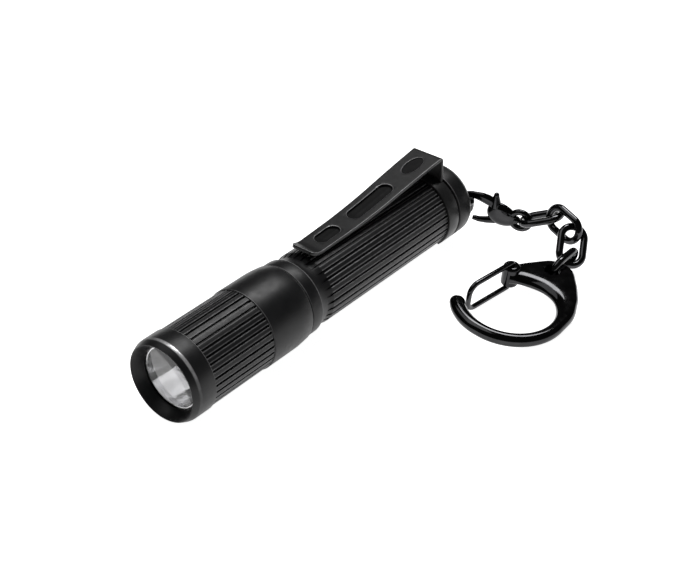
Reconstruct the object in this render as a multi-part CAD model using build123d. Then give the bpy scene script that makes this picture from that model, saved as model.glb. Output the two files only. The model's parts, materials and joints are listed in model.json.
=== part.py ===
from build123d import *
import os
from math import cos, pi, radians, sin

# Keychain flashlight for one AAA cell. Millimetres, +Z up.
# The light lies along Y with its lens facing -Y and its clip on top. The origin is on the light's
# axis, in the middle of the bezel's straight wall. Stations are distances behind the front rim.

# Overall
cell_r = 5.25                # AAA cell, which the radii of the light follow from
head_length = 26.9           # front rim to the rear edge of the head
total_length = 70.0          # front rim to the tail face

# Head shell
head_wall = 0.9              # outside the bore
bezel_round = 1.25           # front edge rounding
bezel_face_inset = 1.3       # width of the front face and its rounding
lens_opening_inset = 1.75    # from the outside to the clear opening in front of the lens
lens_station = 2.05          # front face of the lens
bezel_band_end = 4.6
head_flute_start = 4.8
head_flute_end = 17.6
head_flute_count = 36
head_flute_depth = 0.35
flute_share = 0.34           # width of a flute as a share of its pitch
head_crest_drop = 0.16       # fluted part stands this much below the smooth bands
head_bore_play = 0.1         # over the thread
head_skirt_play = 0.11       # over the sealing land
head_skirt_start = 23.6
head_tail_taper = 2.4        # length of the taper at the head's rear
head_tail_inset = 0.25
edge_break = 0.15
step_length = 0.12           # chamfer between the bands and the fluted part
skirt_chamfer = 0.3

# Optics
lens_thickness = 1.2
lens_clearance = 0.1
lens_o_ring_wire_r = 0.36
seal_play = 0.02             # clearance beside a seal
part_play = 0.05             # clearance around a part held still in a bore
reflector_mouth_r = 4.9
reflector_floor_r = 1.75
reflector_floor = 10.2       # station of the reflector's rear face
reflector_flange = 1.2
reflector_lip = 0.2          # wall at the cup's mouth
reflector_shoulder_r = 5.4
reflector_heel_r = 3.3
emitter_side = 3.45
emitter_height = 0.65
emitter_dome_r = 1.25
centring_ring_r = 3.1

# Pill and driver
led_board_r = 5.0
led_board_thickness = 1.0
pill_floor = 1.6
pill_skirt = 4.0             # depth of the skirt behind the floor
driver_ledge = 0.45
driver_board_thickness = 1.0
driver_board_r = 4.95
driver_ring_thickness = 0.7
driver_ring_inner_r = 4.15
coil_place = (1.3, -0.9)
coil_r = 1.6
coil_bore_r = 0.7
coil_height = 1.7
coil_dish = 0.3
driver_chip_sizes = (
    # x, z, wide, tall, height
    (-1.7, 1.0, 1.9, 2.2, 0.9),
    (-1.8, -1.6, 1.0, 1.7, 0.8),
    (0.2, -3.4, 1.7, 1.0, 0.8),
)
lead_r = 0.32
lead_offset = 3.9
lead_inward = 0.7            # length of the lead that lies on the LED board
lead_bend_r = 0.5
lead_hole_play = 0.22
contact_height = 1.4
contact_foot = 0.4
contact_foot_r = 1.9
contact_r = 1.2
contact_tip_r = 1.0
foam_thickness = 1.35
foam_r = 4.0
foam_hole_r = 2.4

# Cell, size AAA
cell_length = 44.5
cell_cap_height = 0.8
cell_cap_r = 1.9
cell_base_height = 0.1
cell_base_r = 3.7
cell_edge_r = 0.4

# Battery tube
tube_bore_play = 0.1         # round the cell
tube_wall = 0.5              # under the thread
thread_height = 0.15
thread_pitch = 0.8
thread_count = 6
thread_start = 0.8           # first ridge behind the neck's end
ridge_foot = 0.24            # half widths of a ridge
ridge_crest = 0.08
neck_gap = 0.1               # between the driver's retaining ring and the neck
sealing_land_height = 0.4    # above the thread's core
neck_ring_groove_depth = 0.37
neck_ring_groove_width = 0.6
neck_ring_setback = 1.1      # groove behind the start of the head's skirt
collar_gap = 0.3             # between the head's rear edge and the collar
collar_height = 0.3          # above the fluted part
collar_length = 2.3
waist_depth = 0.3            # below the fluted part
waist_length = 2.8
tube_flute_height = 0.4      # over the flutes, above the thread's core
tube_flute_depth = 0.32
tube_flute_count = 30
clip_groove_setback = 7.2    # start of the groove before the tail face
clip_groove_width = 2.8
clip_groove_depth = 0.33
tail_ring_height = 0.35      # above the fluted part
tail_ring_length = 3.95
tail_step = 0.45             # dark step in front of the tail ring
tail_chamfer = 0.6
tail_wall = 3.8
spring_wire_r = 0.2
spring_turns = 2.6
spring_r = 3.4
spring_seat_thickness = 0.25
spring_seat_r = 4.6

# Tail lug
lug_lean = 8.0               # the lug's flat is turned this far about the axis
lug_thickness = 1.7
lug_r = 2.6
lug_centre_offset = 3.2
lug_hole_r = 1.0
lug_height = 2.9
lug_base = 0.4               # depth the lug is sunk into the tail
lug_wire_offset = 2.9        # where the clasp's hook crosses the lug
lug_wire_height = 1.15
lug_hole_offset = 3.0

# Clip
clip_thickness = 0.6
clip_band_width = 2.6
clip_running_gap = 0.06
clip_mouth = 80.0            # angle left open in the band
clip_tail_width = 5.9
clip_tip_width = 4.6
clip_rise = 4.35             # from the flutes to the highest face, at the tail bend
clip_bend_depth = 0.25       # of the tail bend, below the sheet's under face
clip_split_gap = 0.08
clip_profile = (
    # each corner of the top face: how far in front of the tail bend, and how far below it
    (6.9, 0.85),
    (19.5, 2.85),
    (31.6, 3.45),
    (33.3, 2.75),
)
clip_bends = (0.6, 14.0, 40.0, 1.2)        # radii of the top face's bends
clip_under_bends = (0.1, 14.0, 40.0, 0.8)
clip_corner_r = 0.9
clip_slot_depth = 0.35       # pressed into the sheet
clip_slots = ((27.2, 5.2, 2.5), (16.3, 10.6, 2.7))   # middle before the tail bend, length, width
clip_oval = (5.1, 5.0, 2.4, 0.74, 8.2)     # middle, length, width, depth below the top, slope

# Clasp
clasp_heading = (18.2, -9.8, 95.0)  # azimuth, elevation and roll of the clasp at rest
hook_wire_r = 0.62
hook_bend_r = 2.2
clasp_thickness = 2.0
clasp_slot = 0.94
lever_thickness = 0.84
lever_pivot = (6.8, 0.2)
rivet_r = 0.38
rivet_clearance = 0.04
gate_reach = 4.3             # from the rivet to the gate's end
gate_gap = 0.1
hook_root = 5.2              # where the hook's spine meets the cheeks
hook_tip = 3.6
almond = ((5.4, 2.0, 0.95), (7.4, 0.3, 2.3), (9.0, 0.1, 1.1))   # x, y and radius of its rounds
almond_edge_r = 0.3
cheek_slot_place = (6.9, 3.6)              # middle and length of the slot between the cheeks
eye_neck = (8.9, 1.1, 1.0)                 # start, width and thickness
lever_boss_r = 1.05
lever_knuckle = (-1.0, -1.1, 0.5)          # from the rivet, and its radius
finger_start = (-0.3, -0.9)
finger_tip_x = 2.2
finger_width = 1.1
thumb_arm = (5.75, 3.3, 0.42)
thumb_nub = (5.6, 3.55, 0.62)
leaf_size = (0.16, 2.4)
leaf_gap = 0.16
eye_offset = 11.0
eye_bend_r = 1.7
eye_wire_r = 0.55

# Chain
link_wire_r = 0.65
link_inner_width = 2.8       # clear width inside a link
link_pitch = 4.8
link_slack = 0.8             # how far one link can move along the next
link_headings = ((24, 19, -10), (-14, -12, 76), (-62, -37, -19), (-88, 1, 75))
eye_play = 0.15              # between the first link and the clasp's eye

# Carabiner
carabiner_thickness = 2.2
carabiner_opening_r = 7.4
carabiner_rim = 2.3
carabiner_centre = (-3.0, -0.3)
carabiner_shoulder = (0.6, 0.6)
carabiner_shoulder_r = 8.2
carabiner_eye = (7.7, 0.9)
carabiner_eye_r = 4.0
carabiner_hole_play = 0.8    # round the last link's wire
carabiner_wire_u = 8.75      # where the last link's wire sits in the hole
carabiner_nose_angle = 238.0
carabiner_edge_r = 0.9
carabiner_lean = 7.4
carabiner_rise = 1.0
block_centre = (3.6, -4.9)
block_r = 1.9
block_thickness = 4.0
block_edge_r = 0.5
block_arm_r = 1.9
carabiner_hole_shift = -0.4  # hole's middle in front of the wire
carabiner_hole_sink = 0.4    # chamfer at the hole's two edges
gate_wire_r = 0.42
gate_wire_play = 0.06
gate_wire_spread = 5.0       # between the two legs
gate_wire_end = (-6.6, -6.12)
gate_end_depth = 0.9
gate_end_play = 0.1
gate_bend_r = 1.2

# Radii worked out from the sizes above
tube_bore_r = cell_r + tube_bore_play
tube_core_r = tube_bore_r + tube_wall
sealing_land_r = tube_core_r + sealing_land_height
neck_ring_groove_r = sealing_land_r - neck_ring_groove_depth
tube_r = tube_core_r + tube_flute_height
collar_r = tube_r + collar_height
waist_r = tube_r - waist_depth
clip_groove_r = tube_r - clip_groove_depth
tail_ring_r = tube_r + tail_ring_height
clip_top = tube_r + clip_rise
clip_shoulder = clip_thickness + clip_bend_depth
link_width = link_inner_width + 4 * link_wire_r
carabiner_hole_r = link_wire_r + carabiner_hole_play
head_bore_r = tube_core_r + thread_height + head_bore_play
head_skirt_r = sealing_land_r + head_skirt_play
head_r = head_bore_r + head_wall
head_tail_r = head_r - head_tail_inset
bezel_face_r = head_r - bezel_face_inset
lens_opening_r = head_r - lens_opening_inset

# Stations worked out from the sizes above
origin_station = (bezel_round + bezel_band_end) / 2
lens_back = lens_station + lens_thickness
flange_station = lens_back + 2 * (lens_o_ring_wire_r + seal_play)
emitter_face = reflector_floor + 0.1
board_station = emitter_face + emitter_height
pill_station = board_station + led_board_thickness
pill_end = pill_station + pill_floor + pill_skirt
driver_station = pill_end - driver_ring_thickness - driver_board_thickness
driver_back = driver_station + driver_board_thickness
neck_station = pill_end + neck_gap
contact_tip = driver_back + contact_height
cell_station = contact_tip + 0.05
cell_end = cell_station + cell_length
land_start = head_skirt_start + 0.3
collar_station = head_length + collar_gap
waist_station = collar_station + collar_length
tube_flute_start = waist_station + waist_length + 0.2
clip_groove_start = total_length - clip_groove_setback
clip_groove_end = clip_groove_start + clip_groove_width
tail_ring_start = total_length - tail_ring_length
tail_wall_start = total_length - tail_wall
clip_band_start = clip_groove_start + (clip_groove_width - clip_band_width) / 2
clip_band_end = clip_band_start + clip_band_width
clip_band_r = clip_groove_r + clip_running_gap


def place(station):
    """Place on the Y axis of a station behind the front rim."""
    return station - origin_station


def turned(*points):
    """Solid turned about the light's axis from (radius, station) points."""
    outline = Polyline(*[(r, place(y)) for r, y in points], close=True)
    return revolve(make_face(outline), Axis.Y, 360)


def ring(outer_r, inner_r, start, end):
    return turned((inner_r, start), (outer_r, start), (outer_r, end), (inner_r, end))


def disc(r, start, end):
    return turned((0, start), (r, start), (r, end), (0, end))


def along_axis(sketch, start, end):
    """Extrude a sketch drawn in X and Z between two stations."""
    plane = Plane((0, place(start), 0), x_dir=(1, 0, 0), z_dir=(0, 1, 0))
    return extrude(plane * sketch, end - start)


def flutes(count, r, depth, start, end):
    """Cutters for straight flutes around a cylinder."""
    width = 2 * pi * r / count * flute_share
    cutter = Pos(r, place((start + end) / 2), 0) * Box(2 * depth, end - start, width)
    return [Rot(0, 360 / count * i, 0) * cutter for i in range(count)]


def heading(azimuth, elevation, roll):
    """Forward and sideways directions for a heading."""
    a, e, r = radians(azimuth), radians(elevation), radians(roll)
    forward = Vector(cos(e) * cos(a), cos(e) * sin(a), sin(e))
    level = Vector(-sin(a), cos(a), 0)
    sideways = level * cos(r) + forward.cross(level) * sin(r)
    return forward, sideways


def head_shell():
    crest = head_r - head_crest_drop
    outside = make_face(
        Polyline(
            (lens_opening_r, place(lens_station)),
            (bezel_face_r, place(0)),
            (head_r, place(0)),
            (head_r, place(bezel_band_end)),
            (crest, place(bezel_band_end + step_length)),
            (crest, place(head_flute_end + step_length)),
            (head_r, place(head_flute_end + 2 * step_length)),
            (head_r, place(head_length - head_tail_taper)),
            (head_tail_r, place(head_length)),
            (head_skirt_r, place(head_length)),
            (head_skirt_r, place(head_skirt_start)),
            (head_bore_r, place(head_skirt_start - skirt_chamfer)),
            (head_bore_r, place(lens_station)),
            close=True,
        )
    )
    front = outside.vertices().sort_by_distance((head_r, place(0)))[0]
    outside = fillet(front, bezel_round)
    rear = outside.vertices().sort_by_distance((head_tail_r, place(head_length)))[0]
    outside = fillet(rear, edge_break)
    shell = revolve(outside, Axis.Y, 360)
    cuts = flutes(head_flute_count, crest, head_flute_depth, head_flute_start, head_flute_end)
    return shell - cuts


def lens():
    window = disc(head_bore_r - lens_clearance, lens_station, lens_back)
    return chamfer(window.edges().filter_by(GeomType.CIRCLE), edge_break)


def lens_o_ring():
    middle = flange_station - lens_o_ring_wire_r - seal_play
    middle_r = head_bore_r - lens_o_ring_wire_r - edge_break
    circle = Pos(middle_r, place(middle)) * Circle(lens_o_ring_wire_r)
    return revolve(circle, Axis.Y, 360)


def reflector():
    """Parabolic cup with a flange behind the O-ring."""
    mouth = lens_back + part_play
    depth = reflector_floor - mouth
    focus = (reflector_mouth_r**2 - reflector_floor_r**2) / depth
    steps = 8
    cup = []
    for i in range(steps + 1):
        y = mouth + depth * i / steps
        cup.append(((reflector_floor_r**2 + focus * (reflector_floor - y)) ** 0.5, y))
    rim = reflector_mouth_r + reflector_lip
    flange_r = head_bore_r - part_play
    curve = Spline(*[(r, place(y)) for r, y in cup])
    back = Polyline(
        (reflector_mouth_r, place(mouth)),
        (rim, place(mouth)),
        (rim, place(flange_station)),
        (flange_r, place(flange_station)),
        (flange_r, place(flange_station + reflector_flange)),
        (reflector_shoulder_r, place(flange_station + reflector_flange)),
        (reflector_heel_r, place(reflector_floor)),
        (reflector_floor_r, place(reflector_floor)),
    )
    return revolve(make_face([curve, back]), Axis.Y, 360)


def led_centring_ring():
    inner_r = emitter_side / 2**0.5 + part_play
    return ring(centring_ring_r, inner_r, emitter_face, board_station - seal_play)


def led_package():
    return along_axis(Rectangle(emitter_side, emitter_side), emitter_face, board_station)


def led_dome():
    outline = make_face(
        [
            Line((0, place(emitter_face)), (emitter_dome_r, place(emitter_face))),
            CenterArc((0, place(emitter_face)), emitter_dome_r, 270, 90),
            Line((0, place(emitter_face - emitter_dome_r)), (0, place(emitter_face))),
        ]
    )
    return revolve(outline, Axis.Y, 360)


def lead_places():
    return [Pos(side * lead_offset, 0, 0) for side in (-1, 1)]


def led_board():
    board = disc(led_board_r, board_station, pill_station)
    notch = along_axis(Circle(lead_r + lead_hole_play), board_station - 1, pill_station + 1)
    return board - [spot * notch for spot in lead_places()]


def pill():
    """Brass carrier: the LED board on its floor, the driver in its skirt."""
    skirt_r = head_bore_r - part_play
    seat_r = driver_board_r + part_play
    inner_r = seat_r - driver_ledge
    body = turned(
        (0, pill_station),
        (skirt_r, pill_station),
        (skirt_r, pill_end),
        (seat_r, pill_end),
        (seat_r, driver_station),
        (inner_r, driver_station),
        (inner_r, pill_station + pill_floor),
        (0, pill_station + pill_floor),
    )
    hole = along_axis(Circle(lead_r + lead_hole_play), pill_station - 1, pill_station + pill_floor + 1)
    return body - [spot * hole for spot in lead_places()]


def driver_board():
    return disc(driver_board_r, driver_station, driver_back)


def driver_coil():
    x, z = coil_place
    core = ring(coil_r, coil_bore_r, driver_station - coil_height, driver_station)
    middle = disc(coil_bore_r, driver_station - coil_height + coil_dish, driver_station)
    return Pos(x, 0, z) * (core + middle)


def driver_chips():
    """Controller and two capacitors."""
    chips = []
    for x, z, wide, tall, height in driver_chip_sizes:
        outline = Pos(x, -z) * Rectangle(wide, tall)
        chips.append(along_axis(outline, driver_station - height, driver_station))
    return chips


def led_lead(side):
    """Wire from the driver board through the pill to the LED board."""
    pad = board_station - lead_r - seal_play
    route = FilletPolyline(
        (side * lead_offset, place(driver_station), 0),
        (side * lead_offset, place(pad), 0),
        (side * (lead_offset - lead_inward), place(pad), 0),
        radius=lead_bend_r,
    )
    start = Plane(route @ 0, z_dir=route % 0)
    return sweep(start * Circle(lead_r), route)


def driver_ring():
    return ring(driver_board_r, driver_ring_inner_r, driver_back, pill_end)


def positive_contact():
    foot = driver_back + contact_foot
    return turned(
        (0, driver_back),
        (contact_foot_r, driver_back),
        (contact_foot_r, foot),
        (contact_r, foot),
        (contact_tip_r, contact_tip),
        (0, contact_tip),
    )


def foam_ring():
    return ring(foam_r, foam_hole_r, driver_back, driver_back + foam_thickness)


def cell_can():
    can = disc(cell_r, cell_station + cell_cap_height, cell_end - cell_base_height)
    return fillet(can.edges().filter_by(GeomType.CIRCLE), cell_edge_r)


def cell_cap():
    return disc(cell_cap_r, cell_station, cell_station + cell_cap_height)


def cell_base():
    return disc(cell_base_r, cell_end - cell_base_height, cell_end)


def thread_profile():
    """Outline points of the thread's ridges, each standing for one turn."""
    first = neck_station + thread_start
    crest_r = tube_core_r + thread_height
    points = []
    for i in range(thread_count):
        y = first + thread_pitch * i
        points += [
            (tube_core_r, y - ridge_foot),
            (crest_r, y - ridge_crest),
            (crest_r, y + ridge_crest),
            (tube_core_r, y + ridge_foot),
        ]
    return points


def tube_turning():
    """Battery tube before its flutes, with its bore."""
    groove = head_skirt_start + neck_ring_setback
    waist_end = waist_station + waist_length
    lip = part_play
    step_r = tail_ring_r - tail_step
    front = [(tube_bore_r, neck_station), (tube_core_r, neck_station)] + thread_profile()
    front += [
        (tube_core_r, land_start - skirt_chamfer),
        (sealing_land_r, land_start),
        (sealing_land_r, groove),
        (neck_ring_groove_r, groove),
        (neck_ring_groove_r, groove + neck_ring_groove_width),
        (sealing_land_r, groove + neck_ring_groove_width),
        (sealing_land_r, collar_station),
        (collar_r - edge_break, collar_station),
        (collar_r, collar_station + edge_break),
        (collar_r, waist_station - edge_break),
        (collar_r - edge_break, waist_station),
    ]
    waist = ThreePointArc(
        (collar_r - edge_break, place(waist_station)),
        (waist_r, place((waist_station + waist_end) / 2)),
        (tube_r - lip, place(waist_end)),
    )
    rear = [
        (tube_r - lip, waist_end),
        (tube_r, waist_end + lip),
        (tube_r, clip_groove_start),
        (clip_groove_r, clip_groove_start),
        (clip_groove_r, clip_groove_end),
        (step_r, clip_groove_end),
        (step_r, tail_ring_start - tail_step / 2),
        (tail_ring_r, tail_ring_start),
        (tail_ring_r, total_length - tail_chamfer),
        (tail_ring_r - tail_chamfer, total_length),
        (0, total_length),
        (0, tail_wall_start),
        (tube_bore_r, tail_wall_start),
        (tube_bore_r, neck_station),
    ]
    outline = [
        Polyline(*[(r, place(y)) for r, y in front]),
        waist,
        Polyline(*[(r, place(y)) for r, y in rear]),
    ]
    return revolve(make_face(outline), Axis.Y, 360)


def lug_plane():
    """Middle plane of the tail lug: x outwards from the axis, y to the rear."""
    a = radians(lug_lean)
    return Plane((0, place(total_length), 0), x_dir=(cos(a), 0, -sin(a)), z_dir=(sin(a), 0, cos(a)))


def tail_lug():
    crown = lug_height - lug_r
    outline = Pos(lug_centre_offset, crown) * Circle(lug_r)
    foot = Pos(lug_centre_offset, (crown - lug_base) / 2) * Rectangle(2 * lug_r, crown + lug_base)
    below = Pos(lug_centre_offset, -lug_base - lug_r) * Rectangle(4 * lug_r, 2 * lug_r)
    hole = Pos(lug_hole_offset, lug_wire_height) * Circle(lug_hole_r)
    tab = extrude(lug_plane() * (outline + foot - below), lug_thickness / 2, both=True)
    bore = extrude(lug_plane() * hole, lug_thickness, both=True)
    return tab, bore


def battery_tube():
    tab, bore = tail_lug()
    cuts = flutes(tube_flute_count, tube_r, tube_flute_depth, tube_flute_start, clip_groove_start)
    return (tube_turning() - cuts) + tab - bore


def neck_o_ring():
    wire_r = (head_skirt_r - neck_ring_groove_r) / 2 - seal_play
    middle = head_skirt_start + neck_ring_setback + neck_ring_groove_width / 2
    circle = Pos((head_skirt_r + neck_ring_groove_r) / 2, place(middle)) * Circle(wire_r)
    return revolve(circle, Axis.Y, 360)


def tail_spring():
    start = cell_end + 2 * seal_play + spring_wire_r
    end = tail_wall_start - spring_seat_thickness - seal_play - spring_wire_r
    height = end - start
    foot = (0, place(start), 0)
    coil = Helix(height / spring_turns, height, spring_r, center=foot, direction=(0, 1, 0))
    section = Plane(coil @ 0, z_dir=coil % 0) * Circle(spring_wire_r)
    return sweep(section, coil, is_frenet=True)


def spring_seat():
    return disc(spring_seat_r, tail_wall_start - spring_seat_thickness, tail_wall_start)


def clip_ring():
    """Sprung band in the tail groove, with the riser that carries the arm."""
    band = ring(clip_band_r + clip_thickness, clip_band_r, clip_band_start, clip_band_end)
    half = radians(clip_mouth / 2)
    across = 3 * clip_band_r * sin(half)
    away = 3 * clip_band_r * cos(half)
    wedge = make_face(Polyline((0, 0), (across, away), (-across, away), close=True))
    mouth = along_axis(wedge, clip_band_start - 1, clip_band_end + 1)
    foot = clip_band_r + clip_thickness / 2
    top = clip_top - clip_shoulder
    riser = Box(clip_tail_width, clip_thickness, top - foot)
    riser = Pos(0, place(clip_band_end - clip_thickness / 2), (foot + top) / 2) * riser
    below = disc(clip_band_r, clip_band_start, clip_band_end + 1)
    return band - mouth + (riser - below)


def clip_side(inset):
    """Side view of the arm's face, inset from its top and its tail."""
    tail = place(clip_band_end) - inset
    points = [(tail, clip_top - clip_shoulder + clip_split_gap), (tail, clip_top - inset)]
    ahead = [(place(clip_band_end - d), clip_top - drop - inset) for d, drop in clip_profile]
    return points + ahead


def clip_arm():
    """Sheet arm with a rounded tail bend, two pressed slots and an oval, and an upturned lip."""
    outer = clip_side(0)
    inner = clip_side(clip_thickness)
    top = FilletPolyline(*outer, radius=list(clip_bends))
    under = FilletPolyline(*inner, radius=list(clip_under_bends))
    profile = make_face([top, Line(outer[-1], inner[-1]), under, Line(inner[0], outer[0])])
    strip = extrude(Plane.YZ * profile, clip_tail_width, both=True)
    tail = place(clip_band_end)
    tip = tail - clip_profile[-1][0]
    plan = make_face(
        Polyline(
            (-clip_tip_width / 2, tip),
            (clip_tip_width / 2, tip),
            (clip_tail_width / 2, tail),
            (-clip_tail_width / 2, tail),
            close=True,
        )
    )
    plan = fillet(plan.vertices().group_by(Axis.Y)[0], clip_corner_r)
    arm = strip & extrude(plan, 2 * clip_top)
    slot_floor = Pos(0, 0, -clip_slot_depth) * strip
    for ahead, length, width in clip_slots:
        slot = Pos(0, tail - ahead) * Rot(0, 0, 90) * SlotOverall(length, width)
        arm -= extrude(slot, 2 * clip_top) - slot_floor
    ahead, length, width, depth, slope = clip_oval
    recess = extrude(Ellipse(width / 2, length / 2), clip_thickness)
    return arm - Pos(0, tail - ahead, clip_top - depth) * Rot(slope, 0, 0) * recess


def clasp_frame():
    """Clasp plane: origin where its hook crosses the lug, x towards the eye."""
    forward, sideways = heading(*clasp_heading)
    origin = lug_plane().from_local_coords((lug_wire_offset, lug_wire_height, 0))
    return Plane(origin, x_dir=forward, z_dir=forward.cross(sideways))


def capsule(start, end, width):
    """Flat bar with round ends between two points."""
    ends = [Pos(*start) * Circle(width / 2), Pos(*end) * Circle(width / 2)]
    return make_hull(ends[0].edges() + ends[1].edges())


def slab(sketch, thickness):
    return extrude(sketch, thickness / 2, both=True)


def clasp_hook():
    path = Line((hook_root, hook_bend_r), (hook_bend_r, hook_bend_r))
    path += CenterArc((hook_bend_r, 0), hook_bend_r, 90, 180)
    path += Line((hook_bend_r, -hook_bend_r), (hook_tip, -hook_bend_r))
    section = Plane(path @ 0, z_dir=path % 0) * Circle(hook_wire_r)
    wire = sweep(section, path)
    swing = Pos(*lever_pivot) * Cylinder(gate_reach + gate_gap, 4 * hook_wire_r)
    lower = Pos(hook_tip, -hook_bend_r, 0) * Box(2 * hook_tip, 4 * hook_wire_r, 4 * hook_wire_r)
    return wire - (swing & lower)


def clasp_body():
    """Hook, two cheeks that hold the lever, and the eye."""
    rounds = [Pos(x, y) * Circle(r) for x, y, r in almond]
    outline = make_hull([edge for part in rounds for edge in part.edges()])
    cheeks = slab(outline, clasp_thickness)
    levels = cheeks.edges().group_by(Axis.Z)
    cheeks = fillet(levels[0] + levels[-1], almond_edge_r)
    slot_x, slot_length = cheek_slot_place
    cheeks -= Pos(slot_x, 0, 0) * Box(slot_length, 4 * clasp_thickness, clasp_slot)
    cheeks -= Pos(*lever_pivot) * Cylinder(rivet_r, 2 * clasp_thickness)
    eye = Pos(eye_offset, 0, 0) * Torus(eye_bend_r, eye_wire_r)
    start, width, thickness = eye_neck
    neck = slab(capsule((start, 0), (eye_offset - eye_bend_r, 0), width), thickness)
    hole = Pos(eye_offset, 0, 0) * Cylinder(eye_bend_r - eye_wire_r, thickness)
    return clasp_frame() * (cheeks + clasp_hook() + eye + (neck - hole))


def gate_lever():
    """Gate finger and thumb nub, one piece on the rivet."""
    x, y = lever_pivot
    boss = Pos(x, y) * Circle(lever_boss_r)
    knuckle_x, knuckle_y, knuckle_r = lever_knuckle
    knuckle = Pos(x + knuckle_x, y + knuckle_y) * Circle(knuckle_r)
    start_x, start_y = finger_start
    finger = capsule((x + start_x, y + start_y), (finger_tip_x, -hook_bend_r), finger_width)
    thumb_x, thumb_y, thumb_r = thumb_arm
    thumb = Pos(thumb_x, thumb_y) * Circle(thumb_r)
    webs = make_hull(boss.edges() + knuckle.edges()) + make_hull(boss.edges() + thumb.edges())
    plan = (boss + finger + webs) & Pos(x, y) * Circle(gate_reach)
    nub_x, nub_y, nub_r = thumb_nub
    lever = slab(plan, lever_thickness) + Pos(nub_x, nub_y, 0) * Sphere(nub_r)
    lever -= Pos(x, y, 0) * Cylinder(rivet_r + rivet_clearance, 2 * clasp_thickness)
    return clasp_frame() * lever


def clasp_rivet():
    return clasp_frame() * Pos(*lever_pivot) * Cylinder(rivet_r, clasp_thickness)


def gate_spring():
    """Leaf that bears on the back of the lever."""
    x, y = lever_pivot
    thickness, width = leaf_size
    leaf = Box(thickness, width, lever_thickness)
    return clasp_frame() * Pos(x + lever_boss_r + leaf_gap, y, 0) * leaf


def chain_frames():
    """Frame of each link, middle of the link at the origin and x along it, and the chain's end."""
    clasp = clasp_frame()
    first = heading(*link_headings[0])[0]
    half_hook = link_wire_r + link_slack / 2
    inside_eye = eye_offset + eye_bend_r - eye_wire_r - link_wire_r - eye_play
    joint = clasp.from_local_coords((inside_eye, 0, 0)) + first * half_hook
    frames = []
    for link_heading in link_headings:
        forward, sideways = heading(*link_heading)
        middle = joint + forward * (link_pitch / 2)
        frames.append(Plane(middle, x_dir=forward, z_dir=forward.cross(sideways)))
        joint = joint + forward * link_pitch
    return frames, joint + forward * half_hook


def chain_link(frame):
    """Oval ring of round wire."""
    bend_r = link_width / 2 - link_wire_r
    straight = link_pitch + 2 * link_wire_r + link_slack - 2 * bend_r
    path = SlotCenterToCenter(straight, 2 * bend_r).wire()
    section = Plane(path @ 0, z_dir=path % 0) * Circle(link_wire_r)
    return frame * sweep(section, path)


def carabiner_frame():
    """Carabiner's middle plane: x from its centre to its eye."""
    rise, lean = radians(carabiner_rise), radians(carabiner_lean)
    forward = Vector(0, cos(rise), sin(rise))
    across = Vector(cos(lean), 0, -sin(lean))
    origin = chain_frames()[1] - forward * carabiner_wire_u
    return Plane(origin, x_dir=forward, z_dir=forward.cross(across))


def carabiner_body():
    """Open loop that widens into an eye, with a block for the wire gate."""
    centre = Pos(*carabiner_centre)
    outer_r = carabiner_opening_r + carabiner_rim
    opening = centre * Circle(carabiner_opening_r)
    eye = Pos(*carabiner_eye) * Circle(carabiner_eye_r)
    shoulder = Pos(*carabiner_shoulder) * Circle(carabiner_shoulder_r)
    outline = (centre * Circle(outer_r)).edges() + shoulder.edges() + eye.edges()
    loop = make_hull(outline) - opening
    angle = radians(carabiner_nose_angle)
    nose = Vector(cos(angle), sin(angle))
    middle = Vector(*carabiner_centre)
    far = 2 * outer_r
    corners = (middle, middle + nose * far, (far, -far), (far, carabiner_eye[1]), carabiner_eye)
    gap = make_face(Polyline(*corners, close=True))
    arm_end = Pos(*block_centre) * Circle(block_arm_r)
    arm = make_hull(eye.edges() + arm_end.edges()) - opening
    tip = middle + nose * (carabiner_opening_r + carabiner_rim / 2)
    plan = (loop - gap) + arm + Pos(tip.X, tip.Y) * Circle(carabiner_rim / 2)
    body = slab(plan, carabiner_thickness)
    rims = body.edges().group_by(Axis.Z)
    body = fillet(rims[0] + rims[-1], carabiner_edge_r)
    boss = slab(Pos(*block_centre) * Circle(block_r), block_thickness)
    boss = fillet(boss.edges().filter_by(GeomType.CIRCLE), block_edge_r)
    hole_x = carabiner_wire_u + carabiner_hole_shift
    body -= Pos(hole_x, 0, 0) * Cylinder(carabiner_hole_r, 2 * carabiner_thickness)
    sink = Cone(carabiner_hole_r, carabiner_hole_r + carabiner_hole_sink, carabiner_hole_sink)
    sink = Pos(hole_x, 0, (carabiner_thickness - carabiner_hole_sink) / 2) * sink
    body = body - sink - mirror(sink, Plane.XY) + boss
    socket = Cylinder(gate_wire_r + gate_wire_play, 2 * gate_end_depth)
    for side in (-1, 1):
        body -= Pos(*block_centre, side * block_thickness / 2) * socket
    return carabiner_frame() * body


def wire_gate():
    """Sprung U of wire, its two ends turned into the block."""
    x, y = block_centre
    end_x, end_y = gate_wire_end
    spread = gate_wire_spread / 2
    inside = block_thickness / 2 - gate_end_depth + gate_end_play
    end_bend_r = spread - block_thickness / 2
    path = FilletPolyline(
        (x, y, inside),
        (x, y, spread),
        (end_x, end_y, spread),
        (end_x, end_y, -spread),
        (x, y, -spread),
        (x, y, -inside),
        radius=[end_bend_r, gate_bend_r, gate_bend_r, end_bend_r],
    )
    section = Plane(path @ 0, z_dir=path % 0) * Circle(gate_wire_r)
    return carabiner_frame() * sweep(section, path, transition=Transition.RIGHT)


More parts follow.
